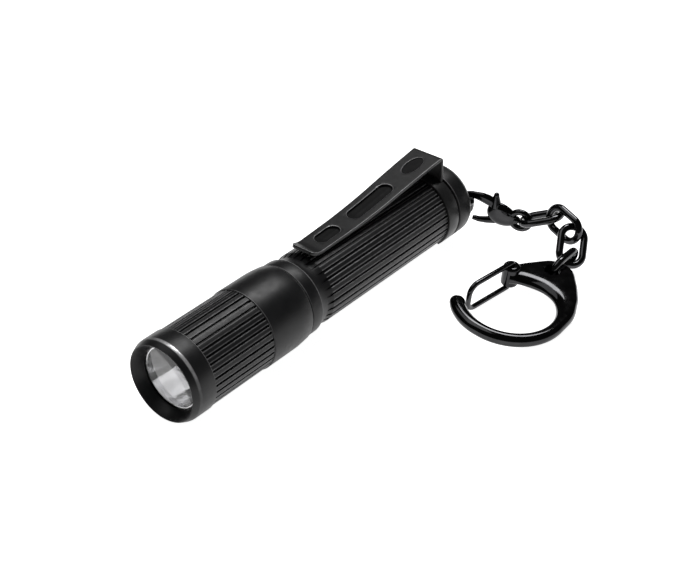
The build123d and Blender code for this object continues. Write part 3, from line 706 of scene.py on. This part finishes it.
def up_clip(station, gain):
    """Length from the clip's tip at a station, with what its bends add up to there."""
    return station - CLIP_TIP + gain


def press(shape, cells, depth_at):
    """Push a block of cells down into the sheet and give it the darker material, which paints shade on the recess
    floor.
    """
    moved = bmesh.ops.extrude_face_region(shape, geom=cells)["geom"]
    bmesh.ops.delete(shape, geom=cells, context="FACES_ONLY")
    for part in moved:
        if isinstance(part, bmesh.types.BMVert):
            part.co.z -= depth_at(part.co)
        if isinstance(part, bmesh.types.BMFace):
            part.material_index = 1


def pocket_clip():
    """Bent sheet: lip, arm with two pressed slots, pressed oval, tail bend and riser."""
    path, lengths = clip_path()
    shape = new_shape()
    bmesh.ops.create_grid(shape, x_segments=26, y_segments=132, size=0.5)
    for vert in shape.verts:
        s = (vert.co.y + 0.5) * lengths[-1]
        vert.co.x *= clip_width(max(s, 0.04))
        vert.co.y = s
    for station, length, width in CLIP_SLOTS:
        middle = up_clip(station, SLOT_GAIN)
        cells = [f for f in shape.faces if abs(f.calc_center_median().x) < width / 2
                 and abs(f.calc_center_median().y - middle) < length / 2]
        snap_hole(cells, middle, length / 2, width / 2)

        def slot_depth(co):
            share = min(1, max(0, (co.y - middle + length / 2) / 1.6))
            rib = max(0, cos(2 * pi * co.x / 0.95)) * 0.05 if abs(co.x) < 0.75 else 0
            return SLOT_DEPTH * (0.25 + 0.75 * share * share * (3 - 2 * share)) - rib * share

        press(shape, cells, slot_depth)
    middle = up_clip(OVAL_STATION, 0.55)
    pressed = []
    for face in shape.faces:
        x, y, z = face.calc_center_median()
        if hypot(x / OVAL_HALF_WIDTH, (y - middle) / OVAL_HALF_LENGTH) < 1:
            pressed.append(face)
    snap_hole(pressed, middle, OVAL_HALF_LENGTH, OVAL_HALF_WIDTH, oval=True)
    press(shape, pressed, lambda co: OVAL_DEPTH)
    bmesh.ops.recalc_face_normals(shape, faces=shape.faces)
    if sum(f.normal.z for f in shape.faces) < 0:
        bmesh.ops.reverse_faces(shape, faces=shape.faces)
    lower = bmesh.ops.extrude_face_region(shape, geom=shape.faces[:], use_keep_orig=True)["geom"]
    for vert in points_of(lower):
        vert.co.z = -CLIP_SHEET
    bmesh.ops.recalc_face_normals(shape, faces=shape.faces)
    rims = [e for e in shape.edges if len(e.link_faces) == 2 and e.calc_face_angle() > radians(55)]
    upper = [e for e in rims if min(v.co.z for v in e.verts) > -0.02]
    under = [e for e in rims if max(v.co.z for v in e.verts) < 0.02 - CLIP_SHEET]
    rounded = bmesh.ops.bevel(
        shape, geom=upper, offset=0.09, offset_type="OFFSET", segments=3, profile=0.5,
        affect="EDGES", material=-1,
    )
    # painted highlights along the sheet's upper rims, partly real edge wear
    wear_and_glint_inside(shape, rounded, 0.38, 4)
    wear_and_glint = shape.verts.layers.float["edge_wear_and_glint"]
    # painted highlight: the tail-side ends of the slots get the full bright mark for the glint arcs there
    for station, length, width in CLIP_SLOTS:
        tail_end = up_clip(station, SLOT_GAIN) + length / 2
        for vert in shape.verts:
            if vert[wear_and_glint] and abs(vert.co.x) < width / 2 + 0.2 and abs(vert.co.y - tail_end) < 1.1:
                vert[wear_and_glint] = 1.0
    bmesh.ops.bevel(
        shape, geom=[e for e in under if e.is_valid], offset=0.07, offset_type="OFFSET", segments=2,
        profile=0.5, affect="EDGES", material=-1,
    )
    for vert in shape.verts:
        point, up = along_clip(path, lengths, vert.co.y)
        x, z = vert.co.x, vert.co.z
        vert.co = point + up * z
        vert.co.x = x
    finishes = [CLIP_STEEL, RECESS_SHADE_STEEL]
    piece = finish_piece(shape, "pocket_clip_sheet", finishes, None, crease=40)
    riser = at(65.2) / 1000
    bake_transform(piece, "clip_ring", "clip_arm", start=(0, riser, 0.0078), end=(0, riser, 0.0105))
    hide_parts("clip_arm")


def clip_band():
    """Sprung ring in the tail groove, open underneath."""
    inner_r, outer_r, front, back = 5.98, 6.58, 62.9, 65.5
    shape = new_shape()
    profile(shape, [
        (inner_r, front, 0.08), (outer_r, front, 0.12), (outer_r, back, 0.12), (inner_r, back, 0.08),
    ])
    to_first_end = Matrix.Rotation(radians(50), 3, "Y")
    bmesh.ops.rotate(shape, verts=shape.verts, cent=(0, 0, 0), matrix=to_first_end)
    bmesh.ops.spin(
        shape, geom=shape.verts[:] + shape.edges[:], cent=(0, 0, 0), axis=(0, 1, 0),
        dvec=(0, 0, 0), angle=radians(-280), steps=112, use_merge=False, use_duplicate=False,
    )
    ends = [e for e in shape.edges if e.is_boundary]
    bmesh.ops.holes_fill(shape, edges=ends, sides=0)
    bmesh.ops.recalc_face_normals(shape, faces=shape.faces)
    finish_piece(shape, "clip_band_ring", CLIP_STEEL, "clip_ring", ["clip_band"])


# ---------------------------------------------------------------- keychain


# azimuth, elevation and roll of each part of the keychain, in degrees
CLASP_HEADING = (18.2, -9.8, 95.0)
LINK_HEADINGS = ((24, 19, -10), (-14, -12, 76), (-62, -37, -19), (-88, 1, 75))
LINK_PITCH, LINK_SLACK = 4.8, 0.8
LINK_WIRE_R, LINK_BEND_R = 0.65, 2.05


def chain_link(number):
    """Closed oval of round wire."""
    start = joint_place(f"link_{number}_swing")
    forward, up = heading(*LINK_HEADINGS[number - 1])
    middle = start + forward * LINK_PITCH / 2
    stretch = (LINK_PITCH + 2 * LINK_WIRE_R + LINK_SLACK - 2 * LINK_BEND_R) / 2
    shape = bmesh.new()
    section = bmesh.ops.create_circle(shape, cap_ends=False, radius=LINK_WIRE_R, segments=24)["verts"]
    bmesh.ops.rotate(shape, verts=section, cent=(0, 0, 0), matrix=Matrix.Rotation(pi / 2, 3, "Y"))
    bmesh.ops.translate(shape, verts=section, vec=(0, LINK_BEND_R, 0))
    steps = 48
    bmesh.ops.rotate(shape, verts=section, cent=(0, 0, 0), matrix=Matrix.Rotation(pi / steps, 3, "Z"))
    bmesh.ops.spin(
        shape, geom=shape.verts[:] + shape.edges[:], cent=(0, 0, 0), axis=(0, 0, 1),
        dvec=(0, 0, 0), angle=2 * pi, steps=steps, use_merge=True, use_duplicate=False,
    )
    for vert in shape.verts:
        vert.co.x += stretch if vert.co.x > 0 else -stretch
    shape.transform(placing(middle, forward, up))
    finish_piece(
        shape, f"chain_link_{number}_wire", NICKEL_WIRE, f"link_{number}",
        [f"chain_link_{number}"],
    )


def clasp_place():
    forward, up = heading(*CLASP_HEADING)
    return placing(joint_place("clasp_swing"), forward, up)


def gathered(parts):
    """One shape that holds several closed shapes, the faces of each turned outwards."""
    whole = bmesh.new()
    for part in parts:
        bmesh.ops.recalc_face_normals(part, faces=part.faces)
        mesh = bpy.data.meshes.new("part")
        part.to_mesh(mesh)
        part.free()
        whole.from_mesh(mesh)
        bpy.data.meshes.remove(mesh)
    return whole


def clasp():
    """Cast hook with an almond body, a bead and an eye."""
    spine = ((6.6, 1.3, 0.95), (5.6, 1.75, 1.0), (4.6, 1.98, 1.0), (3.6, 2.08, 0.92), (2.8, 2.05, 0.78))
    line = [Vector((x, y, 0)) for x, y, r in spine]
    radii = [r for x, y, r in spine]
    bend_r, steps = 2.25, 24
    for i in range(steps + 1):
        angle = radians(90 + 180 * i / steps)
        line.append(Vector((2.2 + bend_r * cos(angle), -0.25 + bend_r * sin(angle), 0)))
        radii.append(0.7 - 0.18 * min(1, i / 8))
    hook = tube_along(line, radii, 24)
    for vert in hook.verts:
        vert.co.z *= 0.72
    body = bmesh.new()
    bmesh.ops.create_uvsphere(body, u_segments=56, v_segments=28, radius=1)
    for vert in body.verts:
        x, y, z = vert.co
        tall = 2.2 * (1 - 0.16 * x)
        vert.co = Vector((7.75 + 2.85 * x, -0.15 + y * tall - 0.25 * x, 1.05 * z * (1 - 0.15 * x)))
    bead = bmesh.new()
    bmesh.ops.create_uvsphere(bead, u_segments=32, v_segments=20, radius=0.72)
    bmesh.ops.translate(bead, verts=bead.verts, vec=(10.25, -0.2, 0))
    eye = bmesh.new()
    ring = bmesh.ops.create_circle(eye, cap_ends=False, radius=0.55, segments=20)["verts"]
    bmesh.ops.rotate(eye, verts=ring, cent=(0, 0, 0), matrix=Matrix.Rotation(pi / 2, 3, "X"))
    bmesh.ops.translate(eye, verts=ring, vec=(1.7, 0, 0))
    bmesh.ops.spin(
        eye, geom=eye.verts[:] + eye.edges[:], cent=(0, 0, 0), axis=(0, 0, 1),
        dvec=(0, 0, 0), angle=2 * pi, steps=48, use_merge=True, use_duplicate=False,
    )
    bmesh.ops.translate(eye, verts=eye.verts, vec=(11.0, 0, 0))
    casting = gathered([hook, body, bead, eye])
    casting.transform(clasp_place())
    finish_piece(
        casting, "clasp_casting", NICKEL, "clasp", ["clasp_body", "clasp_rivet"]
    )


def clasp_lever():
    """Sprung finger that closes the hook, with its thumb nub."""
    finger_line = ((6.6, -1.7, 0.7), (5.2, -2.3, 0.62), (3.9, -2.7, 0.52), (2.75, -2.75, 0.44))
    nub_line = ((6.3, 1.2, 0.95), (6.12, 2.3, 0.78), (6.0, 3.1, 0.58), (5.97, 3.5, 0.48))
    finger, nub = [
        tube_along([Vector((x, y, 0)) for x, y, r in line], [r for x, y, r in line], 24)
        for line in (finger_line, nub_line)
    ]
    cap = bmesh.new()
    bmesh.ops.create_uvsphere(cap, u_segments=24, v_segments=16, radius=0.5)
    bmesh.ops.translate(cap, verts=cap.verts, vec=(5.97, 3.5, 0))
    lever = gathered([finger, nub, cap])
    lever.transform(clasp_place())
    finish_piece(
        lever, "clasp_lever_finger", NICKEL, "clasp_gate", ["clasp_gate_lever"]
    )


LOOP_CENTRE = Vector((-3.0, -0.3, 0))
LOOP_OPENING, LOOP_RIM, LOOP_HALF_THICK = 7.4, 2.3, 1.1
LOOP_EYE, LOOP_EYE_R = Vector((7.9, 0.7, 0)), 3.7
LOOP_NOSE_SWELL, LOOP_ARM_SWELL = 0.3, 1.3
LOOP_START, LOOP_END = -37.0, 238.0
LOOP_GUIDE_R = 8.55
EYE_HOLE, EYE_HOLE_R, SWING_REACH = Vector((8.35, 0, 0)), 1.45, 8.75
LEAST_RIM, PLATE_SPREAD = 1.6, 1.6
BLOCK, BLOCK_R, ARM_R = Vector((3.6, -4.9, 0)), 1.5, 1.75
WIRE_END, WIRE_HALF_GAP, GATE_WIRE_R = Vector((-6.6, -6.12, 0)), 2.5, 0.47
# circles along each side of the eye plate; their hull is its outline
PLATE_BACK = (
    (LOOP_CENTRE, LOOP_OPENING + LOOP_RIM), (Vector((-0.6, 0.3, 0)), 8.95),
    (Vector((2.0, 1.0, 0)), 7.2), (Vector((4.8, 1.2, 0)), 5.4), (LOOP_EYE, LOOP_EYE_R),
)
PLATE_GATE_SIDE = ((BLOCK, ARM_R), (LOOP_EYE, LOOP_EYE_R))


def carabiner_place():
    rise, lean = radians(1.0), radians(7.4)
    forward = Vector((0, cos(rise), sin(rise)))
    across = Vector((cos(lean), 0, -sin(lean)))
    origin = joint_place("carabiner_swing") - forward * SWING_REACH
    return placing(origin, forward, forward.cross(across))


def outline_reach(angle, circles):
    """Distance from the loop's centre to the far side of a chain of hulled circles."""
    furthest, steps = 0.0, 60
    for (a, ra), (b, rb) in zip(circles, circles[1:]):
        for i in range(steps + 1):
            middle = a.lerp(b, i / steps) - LOOP_CENTRE
            r = ra + (rb - ra) * i / steps
            along = middle.x * cos(angle) + middle.y * sin(angle)
            aside = -middle.x * sin(angle) + middle.y * cos(angle)
            if abs(aside) < r:
                furthest = max(furthest, along + sqrt(r * r - aside * aside))
    return furthest


def ease(share):
    """Soft step from nought to one."""
    share = min(1, max(0, share))
    return share * share * (3 - 2 * share)


def loop_point(angle, a, b):
    """Place of a point of the loop's skin: a runs from the opening out, b from below up."""
    eye_angle = atan2(LOOP_EYE.y - LOOP_CENTRE.y, LOOP_EYE.x - LOOP_CENTRE.x)
    outer = outline_reach(angle, PLATE_BACK if angle > eye_angle else PLATE_GATE_SIDE)
    outer = max(outer, LOOP_OPENING + LEAST_RIM)
    plate = ease((outer - LOOP_OPENING - LOOP_RIM) / PLATE_SPREAD)
    opening = LOOP_OPENING - LOOP_ARM_SWELL * ease((radians(45) - angle) / radians(65))
    ridge = 1.15 + 1.05 * plate
    outer_half = 1.15 - 0.35 * plate
    outer += LOOP_NOSE_SWELL * max(0, min(1, (angle - radians(180)) / radians(40)))
    if a < 0.001:
        r = opening + ridge * (1 + a)
        z = LOOP_HALF_THICK * b
    else:
        flat = plate if a < 0.25 else 0
        r = (outer - outer_half * (1 - a)) * (1 - flat) + (opening + ridge + 0.5) * flat
        z = LOOP_HALF_THICK * (b * (1 - flat) + (1 if b > 0 else -1) * flat)
    nose = max(0.0, (angle - radians(LOOP_END - 8.0)) / radians(8.0))
    shrink = sqrt(max(0.0, 1 - nose * nose))
    middle_r = LOOP_OPENING + LOOP_RIM / 2
    r = middle_r + (r - middle_r) * shrink
    return Vector((r * cos(angle), r * sin(angle), z * shrink)) + LOOP_CENTRE


def carabiner():
    """Open loop with a rounded rim that spreads into a flat eye plate with a ridge."""
    shape = bmesh.new()
    section = bmesh.ops.create_circle(shape, cap_ends=False, radius=1, segments=32)["verts"]
    bmesh.ops.rotate(shape, verts=section, cent=(0, 0, 0), matrix=Matrix.Rotation(pi / 2, 3, "X"))
    bmesh.ops.translate(shape, verts=section, vec=(LOOP_GUIDE_R, 0, 0))
    to_arm = Matrix.Rotation(radians(LOOP_START), 3, "Z")
    bmesh.ops.rotate(shape, verts=section, cent=(0, 0, 0), matrix=to_arm)
    bmesh.ops.spin(
        shape, geom=shape.verts[:] + shape.edges[:], cent=(0, 0, 0), axis=(0, 0, 1),
        dvec=(0, 0, 0), angle=radians(LOOP_END - LOOP_START), steps=150, use_merge=False,
        use_duplicate=False,
    )
    rims = [e for e in shape.edges if e.is_boundary]
    bmesh.ops.holes_fill(shape, edges=rims, sides=0)
    for vert in shape.verts:
        angle = atan2(vert.co.y, vert.co.x)
        if angle < -1.2:
            angle += 2 * pi
        vert.co = loop_point(angle, hypot(vert.co.x, vert.co.y) - LOOP_GUIDE_R, vert.co.z)
    drill = bmesh.new()
    bmesh.ops.create_cone(
        drill, cap_ends=True, segments=48, radius1=EYE_HOLE_R, radius2=EYE_HOLE_R, depth=6
    )
    bmesh.ops.translate(drill, verts=drill.verts, vec=EYE_HOLE)
    shape = drilled(shape, drill)
    shape.transform(carabiner_place())
    finish_piece(
        shape, "carabiner_loop", NICKEL, "carabiner", ["carabiner_body"], crease=28
    )
    block = bmesh.new()
    bmesh.ops.create_cone(
        block, cap_ends=True, segments=64, radius1=BLOCK_R, radius2=BLOCK_R, depth=4.0
    )
    edges = [e for e in block.edges if len(e.link_faces) == 2 and e.calc_face_angle() > radians(60)]
    bmesh.ops.bevel(
        block, geom=edges, offset=0.6, offset_type="OFFSET", segments=6, profile=0.5,
        affect="EDGES", material=-1,
    )
    bmesh.ops.translate(block, verts=block.verts, vec=BLOCK)
    block.transform(carabiner_place())
    finish_piece(block, "carabiner_gate_block", NICKEL, "carabiner")


def drilled(shape, drill):
    """Cut one shape out of another."""
    made = []
    for part, name in ((shape, "whole"), (drill, "drill")):
        bmesh.ops.remove_doubles(part, verts=part.verts, dist=0.01)
        bmesh.ops.recalc_face_normals(part, faces=part.faces)
        mesh = bpy.data.meshes.new(name)
        part.to_mesh(mesh)
        part.free()
        thing = bpy.data.objects.new(name, mesh)
        scene.collection.objects.link(thing)
        made.append(thing)
    whole, tool = made
    cut = whole.modifiers.new("hole", "BOOLEAN")
    cut.object = tool
    cut.operation = "DIFFERENCE"
    cut.solver = "MANIFOLD"
    bpy.context.view_layer.update()
    result = bpy.data.meshes.new_from_object(whole.evaluated_get(bpy.context.evaluated_depsgraph_get()))
    made_shape = bmesh.new()
    made_shape.from_mesh(result)
    for thing in made:
        bpy.data.objects.remove(thing)
    bpy.data.meshes.remove(result)
    return made_shape


def wire_gate():
    """Sprung U of wire hooked into the block."""
    hook, leg = Vector((0, 0, 1.3)), Vector((0, 0, WIRE_HALF_GAP))
    points = [BLOCK + hook, BLOCK + leg, WIRE_END + leg, WIRE_END - leg, BLOCK - leg, BLOCK - hook]
    shape = wire(points, [0.5, 1.7, 1.7, 0.5], GATE_WIRE_R)
    shape.transform(carabiner_place())
    finish_piece(
        shape, "carabiner_gate_wire", NICKEL_WIRE, "wire_gate",
        ["carabiner_wire_gate"],
    )


head_shell()
battery_tube()
tail_lug()
lens()
reflector()
emitter()
pocket_clip()
clip_band()
for link_number in range(1, 5):
    chain_link(link_number)
clasp()
clasp_lever()
carabiner()
wire_gate()

# ---------------------------------------------------------------- studio


FLOOR_GLOW = 0.97
WORLD_GLOW = 0.05


def floor():
    shape = bmesh.new()
    bmesh.ops.create_grid(shape, x_segments=1, y_segments=1, size=1.5)
    mesh = bpy.data.meshes.new("studio_floor")
    shape.to_mesh(mesh)
    shape.free()
    ground = bpy.data.objects.new("studio_floor", mesh)
    scene.collection.objects.link(ground)
    ground.location = (0, 0, cad_low.z)
    paper = finish("white studio paper", (0.9, 0.9, 0.9), 0.9, 0.0, Specular_IOR_Level=0.1)
    vary_colour(paper, grain(paper, 60), (0.89, 0.89, 0.89), (0.9, 0.9, 0.9))
    shader = paper.node_tree.nodes["Principled BSDF"]
    shader.inputs["Emission Color"].default_value = (1, 1, 1, 1)
    shader.inputs["Emission Strength"].default_value = FLOOR_GLOW
    mesh.materials.append(paper)


def softbox(name, place, aim, width, height, power):
    light = bpy.data.lights.new(name, "AREA")
    light.shape = "RECTANGLE"
    light.size, light.size_y = width, height
    light.energy = power
    lamp = bpy.data.objects.new(name, light)
    lamp.location = place
    lamp.rotation_mode = "QUATERNION"
    lamp.rotation_quaternion = (Vector(aim) - Vector(place)).to_track_quat("-Z", "Y")
    scene.collection.objects.link(lamp)


def camera():
    azimuth, elevation, distance = radians(39.047), radians(34.105), 0.260
    back = Vector((sin(azimuth) * cos(elevation), -cos(azimuth) * cos(elevation), sin(elevation)))
    data = bpy.data.cameras.new("camera")
    data.lens, data.sensor_width = 84.05, 36.0
    data.clip_start, data.clip_end = 0.01, 10.0
    viewer = bpy.data.objects.new("camera", data)
    viewer.location = Vector((0.005967, 0.036798 - ORIGIN_STATION / 1000, 0)) + back * distance
    viewer.rotation_mode = "QUATERNION"
    viewer.rotation_quaternion = (-back).to_track_quat("-Z", "Y")
    scene.collection.objects.link(viewer)
    scene.camera = viewer


camera()
floor()
middle = (0.008, 0.034, 0.0)
softbox("key", (-0.07, 0.32, 0.52), middle, 0.3, 0.2, 2.4)
softbox("overhead_fill", (-0.25, -0.08, 0.62), middle, 0.5, 0.5, 1.1)
world = bpy.data.worlds.new("studio")
world.use_nodes = True
world.node_tree.nodes["Background"].inputs["Color"].default_value = (1, 1, 1, 1)
world.node_tree.nodes["Background"].inputs["Strength"].default_value = WORLD_GLOW
scene.world = world
scene.view_settings.view_transform = "Standard"
